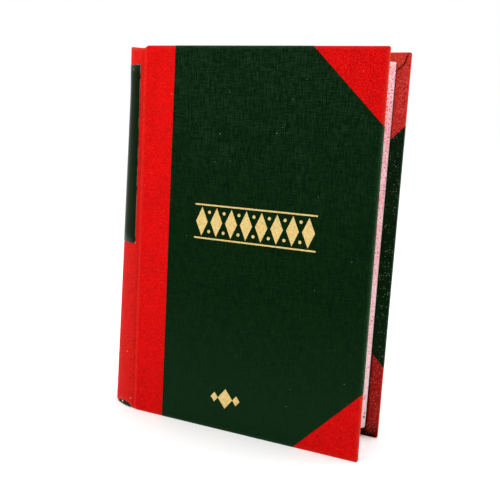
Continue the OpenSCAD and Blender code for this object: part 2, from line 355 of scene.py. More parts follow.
def turned_in_red(tree, noise, where, uneven):
    """The duller red of the folded-in part, with painted shade towards the tail and beside the leaves."""
    # Painted shade: the folded-in red is darker towards the tail, with a random scuffed tone.
    dull = add(tree, "ShaderNodeMath", (noise["grain"], 1.6, uneven), operation="MULTIPLY_ADD")
    scuff_and_shade = add(tree, "ShaderNodeMapRange", {"Value": dull, "From Min": 1.0, "From Max": 1.52})
    scuffed_and_shaded = add(tree, "ShaderNodeMix", {"Factor": scuff_and_shade, "A": "#881813", "B": "#DA4038"}, data_type="RGBA")
    # Painted shade: much darker near the tail and in a narrow band beside the leaves.
    near_tail = add(tree, "ShaderNodeMapRange",
                    {"Value": where["Z"], "From Min": 17 * MM, "From Max": 5 * MM, "To Max": 0.65})
    beside = add(tree, "ShaderNodeMapRange",
                 {"Value": where["X"], "From Min": leaf_end + 2.2 * MM, "From Max": leaf_end})
    below = add(tree, "ShaderNodeMapRange",
                {"Value": where["Z"], "From Min": 332 * MM, "From Max": 327 * MM, "To Max": 0.8})
    near_leaves = add(tree, "ShaderNodeMath", (beside, below), operation="MULTIPLY")
    painted_shade = add(tree, "ShaderNodeMath", (near_tail, near_leaves), operation="MAXIMUM")
    return add(tree, "ShaderNodeMix", {"Factor": painted_shade, "A": scuffed_and_shaded, "B": "#2A0605"}, data_type="RGBA")


# %% Wear of the red cloth
def wear_coats(tree, place):
    """Edges rubbed in upright streaks with dirt between them, and painted shade in the folds."""
    worn = add(tree, "ShaderNodeAttribute", attribute_name="worn").outputs["Fac"]
    crease = add(tree, "ShaderNodeAttribute", attribute_name="crease").outputs["Fac"]
    streak = stretched_noise(tree, place, (1.6, 1.6, 9.0), 4.0, 0.7)
    low_streak = add(tree, "ShaderNodeMapRange",
                     {"Value": streak, "From Min": 0.55, "From Max": 0.3, "To Max": 1.2})
    soil = add(tree, "ShaderNodeMath", (worn, low_streak), operation="MULTIPLY")
    rub = add(tree, "ShaderNodeMath", (worn, streak), operation="MULTIPLY")
    # The crease coat is painted shade: dark in the mitres, at the head's fore corner and on the tail's
    # turn-in.
    return [(soil, "#A01812"), (rub, "#D64532"), (crease, "#140202")]


# %% Red book cloth
RED_NOISE = {
    "mottle": (2.8, 6.0, 0.75),
    "grain": (1.3, 2.0, 0.7),
    "cloud": (45.0, 2.0, 0.5),
    "smudge": (13.0, 4.0, 0.65),
}
CLOTH_MARKS = (
    ((-93.4, -32.4, 115.2), 2.6, "#4A0D08", 0.5),
    ((-92.0, -32.4, 106.5), 2.3, "#4A0D08", 0.45),
    ((-94.5, -32.4, 111.0), 1.6, "#4A0D08", 0.35),
    ((-110.9, -29.3, 56.4), 1.3, "#F59A80", 0.7),
    ((-103.9, -31.0, 9.8), 1.9, "#F09070", 0.6),
)


def red_book_cloth():
    made, tree, shader, place = new_material("red_filled_cloth")
    noise = {}
    for name, (unit, detail, rough) in RED_NOISE.items():
        noise[name] = add(tree, "ShaderNodeTexNoise",
                          {"Vector": place, "Scale": per(unit), "Detail": detail, "Roughness": rough})
    where = add(tree, "ShaderNodeSeparateXYZ", (place,)).outputs
    uneven = add(tree, "ShaderNodeMath", (noise["cloud"], 0.3, where["Z"]), operation="MULTIPLY_ADD")
    inside = add(tree, "ShaderNodeAttribute", attribute_name="inside").outputs["Fac"]
    blotch = add(tree, "ShaderNodeValToRGB", {"Fac": noise["mottle"]},
                 stops=((0.35, "#B60003"), (0.65, "#D80204")))
    coats = outer_coats(tree, noise, where, uneven)
    coats += [(inside, turned_in_red(tree, noise, where, uneven))]
    coats += wear_coats(tree, place)
    coats += [(dust(tree, place, 0.45), "#F3C9BC")]
    coats += mark_coats(tree, place, CLOTH_MARKS)
    relief = add(tree, "ShaderNodeMath", (noise["mottle"], noise["grain"]), operation="ADD")
    close_material(tree, shader, blotch, coats, relief, 0.35, 0.12, {
        "Roughness": 0.72, "Specular IOR Level": 0.02, "Sheen Weight": 0.03, "Sheen Roughness": 0.4})
    return made


red_cloth = red_book_cloth()
print("made", red_cloth.name)

# %% [markdown]
# ### Green linen
# The boards' cloth is a dyed linen. Its threads are not evenly thick, so the eye sees short streaks one
# thread wide, along both directions, and the upright ones are the stronger. Each streak is a noise that is
# stretched along its thread. Its unit across is a thread's width, which is finer than a pixel of the
# picture, so a pixel shows the average of a few threads. A painted highlight greys the tops of the
# threads, mostly in the upper half. Towards the tail a faint painted sheen softens the weave.

# %% Green linen
UPRIGHT_MM = (0.32, 0.32, 7.0)
ACROSS_MM = (6.0, 6.0, 0.42)
ACROSS_WEIGHT = 0.62


def green_book_linen():
    made, tree, shader, place = new_material("green_linen")
    upright = stretched_noise(tree, place, UPRIGHT_MM, 0.0)
    across = stretched_noise(tree, place, ACROSS_MM, 0.0)
    cloud = add(tree, "ShaderNodeTexNoise", {"Vector": place, "Scale": per(28.0), "Detail": 3.0})
    weave = add(tree, "ShaderNodeMath", (across, ACROSS_WEIGHT, upright), operation="MULTIPLY_ADD")
    thread = add(tree, "ShaderNodeValToRGB", {"Fac": weave}, stops=((0.66, "#021705"), (0.91, "#062408")))
    height = add(tree, "ShaderNodeSeparateXYZ", (place,)).outputs["Z"]
    uneven = add(tree, "ShaderNodeMath", (cloud, 0.25, height), operation="MULTIPLY_ADD")
    # Painted highlight: the tops of the threads are greyed, mostly in the upper half.
    highlight_strength = add(tree, "ShaderNodeMapRange",
                 {"Value": uneven, "From Min": 0.32, "From Max": 0.46, "To Min": 0.06, "To Max": 0.38})
    tops = add(tree, "ShaderNodeMapRange", {"Value": weave, "From Min": 0.82, "From Max": 0.96})
    thread_highlight = add(tree, "ShaderNodeMath", (tops, highlight_strength), operation="MULTIPLY")
    # Painted sheen: a faint pale haze towards the tail.
    low_sheen = add(tree, "ShaderNodeMapRange",
                {"Value": height, "From Min": 130 * MM, "From Max": 20 * MM, "To Max": 0.42})
    worn = add(tree, "ShaderNodeAttribute", attribute_name="worn").outputs["Fac"]
    rub = add(tree, "ShaderNodeMath", (worn, across), operation="MULTIPLY")
    specks = dust(tree, place, 0.7)
    coats = [(thread_highlight, "#293E2D"), (low_sheen, "#15321B"), (rub, "#3C5A42"), (specks, "#B4BDB2")]
    close_material(tree, shader, thread, coats, weave, 0.5, 0.15,
                   {"Roughness": 0.62, "Specular IOR Level": 0.022})
    return made


green_linen = green_book_linen()
print("made", green_linen.name)

# %% [markdown]
# ### Label, gilt and boards
# The spine label is the same dark green with a smooth, slightly shiny filling, so the studio shows in it
# as a soft grey band, and its cut edge shows a pale line of the paper that backs it. Gilt is foil pressed
# into cloth: a metal, dulled by the grain below it. Greyboard is pressed waste paper with flecks of fibre.

# %% Label cloth
LABEL_FLECK_AND_GLINT = (
    ((-103.8, -31.3, 166.0), 1.5, "#F2D9CC", 0.7),
    # The second mark is a painted reflection: a grey-green glint near the top of the label.
    ((-113.7, -27.4, 328.5), 1.4, "#8FA58F", 0.7),
)
label_low, label_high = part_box("spine_label")
label_mid = (label_low.z + label_high.z) / 2
label_half_height = (label_high.z - label_low.z) / 2


def from_label_edge(tree, place):
    """How far a point of the label is from its nearest edge."""
    where = add(tree, "ShaderNodeSeparateXYZ", (place,)).outputs
    above = add(tree, "ShaderNodeMath", (where["Z"], label_mid), operation="SUBTRACT")
    off_middle = add(tree, "ShaderNodeMath", (above,), operation="ABSOLUTE")
    from_end = add(tree, "ShaderNodeMath", (label_half_height, off_middle), operation="SUBTRACT")
    from_side = add(tree, "ShaderNodeMath", (label_high.x, where["X"]), operation="SUBTRACT")
    return add(tree, "ShaderNodeMath", (from_end, from_side), operation="MINIMUM")


def smooth_label_cloth():
    made, tree, shader, place = new_material("glazed_dark_cloth")
    haze = add(tree, "ShaderNodeTexNoise", {"Vector": place, "Scale": per(9.0), "Detail": 4.0})
    tint = add(tree, "ShaderNodeValToRGB", {"Fac": haze}, stops=((0.0, "#051403"), (1.0, "#0C1F07")))
    patchy = add(tree, "ShaderNodeMapRange",
                 {"Value": haze, "From Min": 0.4, "From Max": 0.6, "To Min": 0.04, "To Max": 0.36})
    frayed = add(tree, "ShaderNodeMapRange", {"Value": from_label_edge(tree, place), "From Min": 0.8 * MM,
                                              "From Max": 0.3 * MM, "To Max": patchy})
    coats = [(frayed, "#CF9486")] + mark_coats(tree, place, LABEL_FLECK_AND_GLINT)
    gloss = add(tree, "ShaderNodeMapRange", {"Value": haze, "To Min": 0.1, "To Max": 0.2})
    grain = add(tree, "ShaderNodeTexNoise", {"Vector": place, "Scale": per(0.8), "Detail": 2.0})
    close_material(tree, shader, tint, coats, grain, 0.2, 0.08,
                   {"Roughness": gloss, "Specular IOR Level": 0.02})
    return made


# %% Gilt foil
def pressed_gilt_foil():
    made, tree, shader, place = new_material("pressed_gilt_foil")
    rub = add(tree, "ShaderNodeTexNoise",
              {"Vector": place, "Scale": per(1.6), "Detail": 4.0, "Roughness": 0.7})
    tint = add(tree, "ShaderNodeValToRGB", {"Fac": rub}, stops=((0.25, "#C9A85C"), (0.6, "#EBD08A")))
    close_material(tree, shader, tint, [], rub, 0.3, 0.08, {"Metallic": 0.75, "Roughness": 0.5})
    return made


# %% Fibrous materials: greyboard, lining paper, tape, thread and mull
CARD_MARKS = [((-116.3, -26.7, 3.3), 2.4, "#EFE6D2", 0.95)]


def fibrous(name, dark, light, fibre_mm, rough, marks=()):
    """Pressed or spun fibre: two colours in short flecks of a given size, quite matt."""
    made, tree, shader, place = new_material(name)
    fleck = add(tree, "ShaderNodeTexNoise",
                {"Vector": place, "Scale": per(fibre_mm), "Detail": 6.0, "Roughness": 0.7})
    tint = add(tree, "ShaderNodeValToRGB", {"Fac": fleck}, stops=((0.3, dark), (0.7, light)))
    coats = mark_coats(tree, place, marks) if marks else []
    close_material(tree, shader, tint, coats, fleck, 0.4, 0.1,
                   {"Roughness": rough, "Specular IOR Level": 0.2})
    return made


label_cloth = smooth_label_cloth()
gilt_foil = pressed_gilt_foil()
greyboard = fibrous("grey_pulp_board", "#857F75", "#A8A296", 1.4, 0.9)
lining_paper = fibrous("brown_lining_paper", "#A98A5C", "#C2A576", 1.0, 0.85)
# The spine card is painted near-black, as shade in the hollow under the lifted tail of the spine's cloth.
spine_card = fibrous("black_card_painted_shade", "#14150F", "#262820", 1.2, 0.9, CARD_MARKS)
tape_cotton = fibrous("woven_cotton_tape", "#CFC7B0", "#E2DBC6", 0.8, 0.85)
thread_linen = fibrous("linen_sewing_thread", "#DED5BC", "#F2EBD8", 0.5, 0.7)
mull_cotton = fibrous("open_cotton_mull", "#D2CBB5", "#EAE4D2", 0.9, 0.9)
print("made", label_cloth.name, gilt_foil.name, greyboard.name)

# %% [markdown]
# ### Paper and its sprinkled edges
# The leaves are cream paper. Their cut edges were stained pale pink, which dried in small blots, and then
# flicked with a brush of red, which left dots of many sizes. The edges are paler towards the tail, painted
# light that brightens them where the covers shade them, and whiter in a narrow band along the head. The
# head itself is bare paper with painted shade in grey lines between its leaves. Near the tail, where the
# book stood on shelves and desks, a few dark specks of dirt lie on top. Most of this changes with height,
# so a table says where each change starts and stops, and from what strength to what strength it goes.

# %% Paper of the leaves
PAPER_ROUGH = 0.85
PAPER_SHINE = 0.2


def leaf_paper_material(name, dark, light):
    made, tree, shader, place = new_material(name)
    cloud = add(tree, "ShaderNodeTexNoise", {"Vector": place, "Scale": per(22.0), "Detail": 4.0})
    fibre = add(tree, "ShaderNodeTexNoise",
                {"Vector": place, "Scale": per(0.7), "Detail": 4.0, "Roughness": 0.7})
    tint = add(tree, "ShaderNodeValToRGB", {"Fac": cloud}, stops=((0.3, dark), (0.7, light)))
    close_material(tree, shader, tint, [], fibre, 0.2, 0.05,
                   {"Roughness": PAPER_ROUGH, "Specular IOR Level": PAPER_SHINE})
    return made


# %% Sprinkled page edge
EDGE_MARKS = (
    ((118.0, 26.2, 19.3), 2.3, "#1E1214", 0.95),
    ((118.2, 26.6, 23.4), 1.5, "#2A1A1E", 0.8),
)
EDGE_BY_HEIGHT = {
    # pale is painted light: the edges turn paler towards the tail, where the covers shade them.
    "pale": (320, 60, 0.0, 0.85),
    "deeper": (320, 60, 0.85, 0.4),
    "fewer": (280, 60, 0.3, 0.6),
    # at_head whitens a narrow band along the head.
    "at_head": (340, 342.5, 0.0, 0.8),
    "on_head": (343.1, 343.3, 0.0, 1.0),
    "near_tail": (45, 28, 0.0, 0.9),
}


def sprinkled_edge_material():
    made, tree, shader, place = new_material("sprinkled_pink_edge")
    leaves = stretched_noise(tree, place, (18.0, 0.45, 18.0), 3.0)
    wash = add(tree, "ShaderNodeTexNoise", {"Vector": place, "Scale": per(16.0), "Detail": 4.0})
    mottle = add(tree, "ShaderNodeTexNoise", {"Vector": place, "Scale": per(1.4), "Detail": 2.0})
    tone = add(tree, "ShaderNodeMath", (leaves, wash), operation="ADD")
    tint = add(tree, "ShaderNodeValToRGB", {"Fac": tone}, stops=((0.7, "#FAB6BF"), (1.0, "#FFE6E9")))
    height = add(tree, "ShaderNodeSeparateXYZ", (place,)).outputs["Z"]
    by_height = {}
    for name, (start, stop, low, high) in EDGE_BY_HEIGHT.items():
        by_height[name] = add(tree, "ShaderNodeMapRange",
                              {"Value": height, "From Min": start * MM, "From Max": stop * MM,
                               "To Min": low, "To Max": high})
    blots = add(tree, "ShaderNodeMapRange",
                {"Value": mottle, "From Min": 0.46, "From Max": 0.64, "To Max": by_height["deeper"]})
    fine = sprinkle(tree, place, 1.5, by_height["fewer"], 0.5)
    coarse = sprinkle(tree, place, 3.0, 0.6, 0.26)
    # The bare head of the block, with painted shade in grey lines between the leaves.
    bare = add(tree, "ShaderNodeMix", {"Factor": leaves, "A": "#B9A9A0", "B": "#FBF1EB"}, data_type="RGBA")
    dirt = sprinkle(tree, place, 4.5, 0.4, 0.34)
    dirty = add(tree, "ShaderNodeMath", (dirt, by_height["near_tail"]), operation="MULTIPLY")
    coats = [(by_height["pale"], "#FFEEF1"), (blots, "#E97489"), (fine, "#DE5068"), (coarse, "#DA3F59"),
             (by_height["at_head"], "#FFF7F5"), (by_height["on_head"], bare), (dirty, "#3A2226")]
    coats += mark_coats(tree, place, EDGE_MARKS)
    close_material(tree, shader, tint, coats, leaves, 0.5, 0.12,
                   {"Roughness": PAPER_ROUGH, "Specular IOR Level": PAPER_SHINE})
    return made


leaf_paper = leaf_paper_material("cream_leaf_paper", "#EFE6D2", "#F6EFDF")
endpaper = leaf_paper_material("white_end_paper", "#EEE9DD", "#F7F3E9")
page_edge = sprinkled_edge_material()
print("made", leaf_paper.name, endpaper.name, page_edge.name)

# %% [markdown]
# ## Covers
# A cover is a board with cloth pasted round it: a red strip beside the spine, red corners, and green linen
# over the rest, all folded in over the edges. It could be modelled as one box with painted zones, but then
# the cloth would have no edges of its own. Here a rounded slab the size of the whole cover is cut along
# the cloth's edges, each piece keeps its own faces, and Solidify gives it the thickness of cloth.

# %% Making pieces
def shown(name, mesh, *materials):
    """Puts a mesh into the scene as a piece with these materials."""
    piece = bpy.data.objects.new(name, mesh)
    scene.collection.objects.link(piece)
    for made in materials:
        mesh.materials.append(made)
    return piece


def shown_bmesh(name, mesh, *materials):
    """Puts an edit mesh into the scene as a piece, and frees it."""
    data = bpy.data.meshes.new(name)
    mesh.to_mesh(data)
    mesh.free()
    return shown(name, data, *materials)


def finished(piece):
    """Applies the piece's modifiers, so that a plain mesh is left."""
    view = bpy.context.evaluated_depsgraph_get()
    evaluated = piece.evaluated_get(view)
    mesh = bpy.data.meshes.new_from_object(evaluated, preserve_all_data_layers=True, depsgraph=view)
    mesh.name = piece.name
    piece.modifiers.clear()
    piece.data = mesh
    return piece


def with_thickness(piece, thickness):
    """Gives an open sheet a thickness, inwards from its face. A second material goes onto its cut edges."""
    solid = piece.modifiers.new("thickness", "SOLIDIFY")
    solid.thickness = thickness
    solid.offset = -1.0
    solid.material_offset_rim = len(piece.data.materials) - 1
    return finished(piece)


def stands_for(piece, slot, *nodes):
    """Lets a piece take the place of nodes, which it hides. The slot is not used."""
    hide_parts(*nodes)
    print(piece.name, len(piece.data.polygons), "faces")


# %% A rounded slab
CORNER_ROUND = 1.8 * MM
HINGE_CORNER_ROUND = 2.0 * MM
CORNER_SEGMENTS = 5
EDGE_ROUND = 0.9 * MM
EDGE_SEGMENTS = 4
NEARLY = 1e-6


def is_rim(edge):
    """True for an edge between a large face of the slab and one of its narrow sides."""
    flat = [abs(face.normal.y) > 0.5 for face in edge.link_faces]
    return flat[0] != flat[1]


def rounded_slab(sign, inset):
    """A closed slab with rounded edges and corners, this much smaller than a whole cover."""
    mesh = bmesh.new()
    whole = Vector((fore_edge - hinge_edge, cover_t, cover_head - cover_tail))
    size = whole - 2 * Vector((inset, inset, inset))
    middle = Vector(((fore_edge + hinge_edge) / 2, sign * (half_t - cover_t / 2), cover_mid))
    bmesh.ops.create_cube(mesh, size=1.0, matrix=Matrix.Translation(middle) @ Matrix.Diagonal((*size, 1.0)))
    for way, radius in ((1, CORNER_ROUND), (-1, HINGE_CORNER_ROUND)):
        corners = [edge for edge in mesh.edges if edge.verts[0].co.z == edge.verts[1].co.z
                   and all(way * (vert.co.x - middle.x) > size.x / 2 - inset - NEARLY for vert in edge.verts)]
        bmesh.ops.bevel(mesh, geom=corners, offset=radius - inset, segments=CORNER_SEGMENTS, profile=0.5,
                        affect="EDGES")
    mesh.normal_update()
    rims = [edge for edge in mesh.edges if is_rim(edge)]
    bmesh.ops.bevel(mesh, geom=rims, offset=EDGE_ROUND - inset, segments=EDGE_SEGMENTS, profile=0.5,
                    affect="EDGES")
    bmesh.ops.recalc_face_normals(mesh, faces=mesh.faces)
    return mesh


# %% [markdown]
# The cuts are planes. On the outside a corner's edge runs at about 45 degrees across the board. The
# corners were cut by hand, so each has its own two lengths. Folded over the board's edge, the same
# straight cut of the cloth leans the other way, so the inside has planes of its own. Each inside corner
# also has a mitre, where the two folds meet: a shallow crooked crease, made by three cuts side by side
# whose middle line is pushed in.

# %% Cutting the slab along the cloth's edges
CORNER_LEGS = {
    ("front", 1): (65 * MM, 63 * MM),
    ("front", -1): (60.5 * MM, 61.5 * MM),
    ("back", 1): (63 * MM, 63 * MM),
    ("back", -1): (68.5 * MM, 68.5 * MM),
}
TURN_IN = 16 * MM
WEAR_BAND = 3.5 * MM
INSIDE = 0.25 * MM
CUT_WELD = 1e-7
X_WAY = Vector((1, 0, 0))
Z_WAY = Vector((0, 0, 1))


def is_inside(point):
    """True on the face of a cover that looks at the leaves."""
    return abs(point.y) < half_t - cover_t + INSIDE


def cut(mesh, point, across, wanted):
    """Cuts the faces that `wanted` picks, along the plane through a point."""
    faces = [face for face in mesh.faces if wanted(face.calc_center_median())]
    parts = set(faces)
    for face in faces:
        parts.update(face.edges)
        parts.update(face.verts)
    bmesh.ops.bisect_plane(mesh, geom=list(parts), dist=CUT_WELD, plane_co=point, plane_no=across)


def corner_point(end, to_fore, to_end):
    """A point given by its distances from the fore-edge and from the head or the tail."""
    z = cover_head - to_end if end > 0 else cover_tail + to_end
    return Vector((fore_edge - to_fore, 0.0, z))


# %% Cutting the mitres
CREASE_HALF = 1.4 * MM
MITRES = {
    1: [(2.6, 0.2), (4.8, 9.0), (10.4, 14.6), (17.0, 21.0)],
    -1: [(0.3, 0.2), (4.0, 2.4), (10.0, 4.2), (25.0, 7.6)],
}
MITRE_ASIDE = (-0.7, 0.7)
MITRE_REACH = 26 * MM


def in_corner(point, end):
    """True for an inside point near the corner at the fore-edge and this end."""
    at = corner_point(end, 0.0, 0.0)
    near = at.x - point.x < MITRE_REACH and abs(at.z - point.z) < MITRE_REACH
    return near and is_inside(point)


def cut_mitre(mesh, end, offset):
    """Cuts one crooked line across an inside corner."""
    fore_shift, end_shift = (part * offset for part in MITRE_ASIDE)
    for (fore_a, end_a), (fore_b, end_b) in zip(MITRES[end], MITRES[end][1:]):
        start = corner_point(end, fore_a * MM + fore_shift, end_a * MM + end_shift)
        stop = corner_point(end, fore_b * MM + fore_shift, end_b * MM + end_shift)
        for x in (start.x, stop.x):
            cut(mesh, Vector((x, 0, 0)), X_WAY, lambda c: in_corner(c, end))
        run = stop - start
        across = Vector((run.z, 0, -run.x)).normalized()
        cut(mesh, start, across, lambda c: in_corner(c, end) and stop.x < c.x < start.x)


def cut_slab(mesh, side):
    """Cuts the slab along every edge of its cloth pieces."""
    everywhere = lambda c: True
    outside = lambda c: not is_inside(c)
    cut(mesh, Vector((strip_edge, 0, 0)), X_WAY, everywhere)
    cut(mesh, Vector((fore_edge - TURN_IN, 0, 0)), X_WAY, is_inside)
    cut(mesh, Vector((fore_edge - WEAR_BAND, 0, 0)), X_WAY, outside)
    for end in (1, -1):
        cut(mesh, corner_point(end, 0, TURN_IN), Z_WAY, is_inside)
        cut(mesh, corner_point(end, 0, WEAR_BAND), Z_WAY, outside)
        along, down = CORNER_LEGS[side, end]
        slant = Vector((1 / along, 0, end / down)).normalized()
        folded_slant = Vector((1 / along, 0, -end / down)).normalized()
        cut(mesh, corner_point(end, along, 0), slant, outside)
        cut(mesh, corner_point(end, along, 0), folded_slant, is_inside)
        cut(mesh, corner_point(end, 0, down), folded_slant, is_inside)
        cut(mesh, corner_point(end, 0, MITRE_REACH), Z_WAY, is_inside)
        for offset in (-CREASE_HALF, 0.0, CREASE_HALF):
            cut_mitre(mesh, end, offset)


# %% [markdown]
# After the cuts every face belongs to exactly one piece of cloth, or to bare board. Its middle tells
# which. The boards were cut by hand too: the back one is a little out of square, with its head corner 2 mm
# too far out and too high.

# %% Sorting faces into cloth pieces
FACES_SPINE = -0.75


def to_nearest_end(point):
    """How far a point is from the head or the tail, and which of the two is nearer."""
    to_end = min(point.z - cover_tail, cover_head - point.z)
    return to_end, 1 if point.z > cover_mid else -1


def cloth_at(side, point, normal):
    """The name of the cloth piece that this part of a cover belongs to, or None for bare board."""
    to_fore = fore_edge - point.x
    to_end, end = to_nearest_end(point)
    along, down = CORNER_LEGS[side, end]
    corner = "head_corner" if end > 0 else "tail_corner"
    if normal.x < FACES_SPINE and point.x < strip_edge:
        return None
    if not is_inside(point):
        if point.x < strip_edge:
            return "spine_strip"
        return corner if to_fore / along + to_end / down < 1 else "side_cloth"
    if point.x < strip_edge:
        return "spine_strip" if to_end < TURN_IN else None
    if min(to_fore, to_end) > TURN_IN:
        return None
    return corner if abs(to_fore / along - to_end / down) < 1 else "side_cloth"


def above_mitre(point):
    """How far a point lies from its corner's mitre, away from the head or tail, or None past its ends."""
    to_fore = fore_edge - point.x
    to_end, end = to_nearest_end(point)
    for (fore_a, end_a), (fore_b, end_b) in zip(MITRES[end], MITRES[end][1:]):
        if fore_a * MM <= to_fore + NEARLY and to_fore - NEARLY <= fore_b * MM:
            line = end_a + (end_b - end_a) * (to_fore / MM - fore_a) / (fore_b - fore_a)
            return to_end - line * MM
    return None


# %% Marking wear and dirt
CREASE_DEPTH = 0.2 * MM
CREASE_NEAR = 0.05 * MM
FACE_NEAR = 0.02 * MM
RUB_REACH = 1.2 * EDGE_ROUND
JOINT_REACH = 2 * EDGE_ROUND
SIDE_FROM = EDGE_ROUND / 3
FACE_WORN = 0.3
FOLD_SHADE = 0.8
TAIL_SHADE = 0.85
HEAD_RUB = 0.7


def mark_points(mesh, sign):
    """Pushes the mitre creases in, and writes the worn, inside and crease attributes."""
    worn, inside, crease = (mesh.verts.layers.float.new(name) for name in ("worn", "inside", "crease"))
    for vert in mesh.verts:
        to_fore = fore_edge - vert.co.x
        to_head = cover_head - vert.co.z
        to_tail = vert.co.z - cover_tail
        if not is_inside(vert.co):
            in_joint = vert.co.x < hinge_edge + JOINT_REACH
            at_edge = min(to_fore, to_head, to_tail) < RUB_REACH
            on_face = abs(vert.co.y) > half_t - FACE_NEAR
            vert[worn] = (FACE_WORN if on_face else 1.0) if at_edge and not in_joint else 0.0
            # Painted shade: the fold at the head's fore corner is painted dark.
            on_side = abs(vert.co.y) < half_t - SIDE_FROM
            vert[crease] = FOLD_SHADE if on_side and max(to_fore, to_head) < CORNER_ROUND else 0.0
            continue
        vert[inside] = 1.0
        gap = above_mitre(vert.co)
        # Painted shade: the mitre's crease is pushed in and painted dark.
        if gap is not None and abs(gap) < CREASE_NEAR:
            vert[crease] = 1.0
            vert.co.y += sign * CREASE_DEPTH
        # Painted shade: below the tail's mitre the turn-in is painted dark; at the head it is rubbed paler.
        elif gap is not None and gap < 0:
            vert[crease] = TAIL_SHADE if to_tail < to_head else 0.0
            vert[worn] = 0.0 if to_tail < to_head else HEAD_RUB


# %% Dressing a cover
CLOTH_THICK = 0.35 * MM
FLAT_FACE = 0.999
OUT_OF_SQUARE = {"front": Vector((0, 0, 0)), "back": Vector((2.0, 0, 2.1)) * MM}
LIFTS = {"spine_strip": -0.06 * MM, "head_corner": -0.06 * MM, "tail_corner": -0.06 * MM,
         "side_cloth": 0.05 * MM}


def skew(mesh, side):
    """Moves a cover's points by how far its board is out of square."""
    for vert in mesh.verts:
        along = (vert.co.x - hinge_edge) / (fore_edge - hinge_edge)
        up = (vert.co.z - cover_tail) / (cover_head - cover_tail)
        vert.co += along * up * OUT_OF_SQUARE[side]


def cloth_piece(slab, side, name):
    """One piece of a cover's cloth: its own faces of the slab, lifted a little and given a thickness."""
    mesh = slab.copy()
    mesh.normal_update()
    others = [f for f in mesh.faces if cloth_at(side, f.calc_center_median(), f.normal) != name]
    bmesh.ops.delete(mesh, geom=others, context="FACES")
    for face in mesh.faces:
        face.smooth = max(abs(part) for part in face.normal) < FLAT_FACE
    lifts = [(vert, vert.normal.copy()) for vert in mesh.verts]
    for vert, way in lifts:
        vert.co += way * LIFTS[name]
    skew(mesh, side)
    cloth, slot = (green_linen, "green_cloth") if name == "side_cloth" else (red_cloth, "red_cloth")
    piece = with_thickness(shown_bmesh(f"{side}_{name}_skin", mesh, cloth), CLOTH_THICK)
    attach(piece, f"{side}_cover")
    stands_for(piece, slot, f"{side}_{name}")


for side, sign in SIDES.items():
    slab = rounded_slab(sign, 0.0)
    cut_slab(slab, side)
    mark_points(slab, sign)
    for name in LIFTS:
        cloth_piece(slab, side, name)
    slab.free()

# %% [markdown]
# The board itself is pressed grey pulp. It shows only at its hinge edge and where a cover stands open, so
# it is the same rounded slab, smaller by the cloth's thickness.

# %% Boards
BOARD_INSET = 0.4 * MM

for side, sign in SIDES.items():
    slab = rounded_slab(sign, BOARD_INSET)
    skew(slab, side)
    piece = shown_bmesh(f"{side}_board_slab", slab, greyboard)
    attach(piece, f"{side}_cover")
    stands_for(piece, "greyboard", f"{side}_board")

# %% [markdown]
# ## Spine and grooves
# The spine's cloth is drawn over a curved card and folded in around both ends, which leaves a soft round
# cap. Beside it the cloth dips into a groove, where the cover hinges. All of it is one kind of surface: a
# line seen from above, carried along a path that starts inside, rolls over the head, runs down the outside
# and rolls in again at the tail.

# %% A sheet through rows of points
def sheet_of_rows(name, rows, outward, thickness, *materials, rub=None):
    """A sheet through rows of points. Its middle faces `outward`, and its thickness lies behind its face.
    `rub` says how worn each column of points is."""
    wide = len(rows[0])
    faces = [(i * wide + j, i * wide + j + 1, (i + 1) * wide + j + 1, (i + 1) * wide + j)
             for i in range(len(rows) - 1) for j in range(wide - 1)]
    mesh = bpy.data.meshes.new(name)
    mesh.from_pydata([point for row in rows for point in row], [], faces)
    if rub:
        worn = mesh.attributes.new("worn", "FLOAT", "POINT")
        worn.data.foreach_set("value", rub * len(rows))
    middle = mesh.polygons[(len(rows) // 2) * (wide - 1) + (wide - 1) // 2]
    if middle.normal.dot(outward) < 0:
        mesh.flip_normals()
    mesh.shade_smooth()
    return with_thickness(shown(name, mesh, *materials), thickness)


# %% A path that rolls in at both ends
CAP_TURNS = 9
CAP_WEAR = 3 * MM
SPINE_WORN = 0.17


def cap_path(low, high, roll, tuck, steps):
    """Depths and heights along cloth that is folded in round both ends."""
    turn = [math.pi * k / (CAP_TURNS - 1) for k in range(CAP_TURNS)]
    top = high - roll - CAP_WEAR
    bottom = low + roll + CAP_WEAR
    path = [(2 * roll, high - roll - tuck)]
    path += [(roll + roll * math.cos(a), high - roll + roll * math.sin(a)) for a in turn]
    path += [(0.0, top + (bottom - top) * k / steps) for k in range(steps + 1)]
    path += [(roll - roll * math.cos(a), low + roll - roll * math.sin(a)) for a in turn]
    path += [(2 * roll, low + roll + tuck)]
    return path


def cap_rub(steps):
    """How worn each point of a cap path is: fully where it rolls over an end, and a little all along."""
    roll = [1.0] * CAP_TURNS
    return [0.0] + roll + [SPINE_WORN] * (steps + 1) + roll + [0.0]


# %% [markdown]
# A book that has stood for years leans into its own back. Here the spine is flatter at the head and
# rounder at the tail, so its radius grows downwards, and its head is pulled back a little, where fingers
# hook it off a shelf. Its sides flare out into the grooves. Its ends are not level either: the head cap
# stands up in the middle and dips at the grooves, and at the tail the cloth reaches down to the floor,
# except beside the front board.

# %% The spine's form
LEAN_TAIL = 4.7 * MM
LEAN_HEAD = -3.8 * MM
HEAD_PULL = 2.0 * MM
HEAD_PULL_FROM = 0.86
SIDE_FLARE = 0.8 * MM
FLARE_FROM = math.radians(60)
HEAD_DIP = 2.2 * MM
HEAD_CROWN = 3.4 * MM
HEAD_ROUND = 1.4
TAIL_LIP = 0.6 * MM
TAIL_LIFT = 4.2 * MM
LIFT_FROM, LIFT_RISE = 44, 18
LIFT_UNTIL, LIFT_FALL = 78, 12


def smooth(t):
    """A soft step from 0 to 1."""
    t = min(max(t, 0.0), 1.0)
    return t * t * (3 - 2 * t)


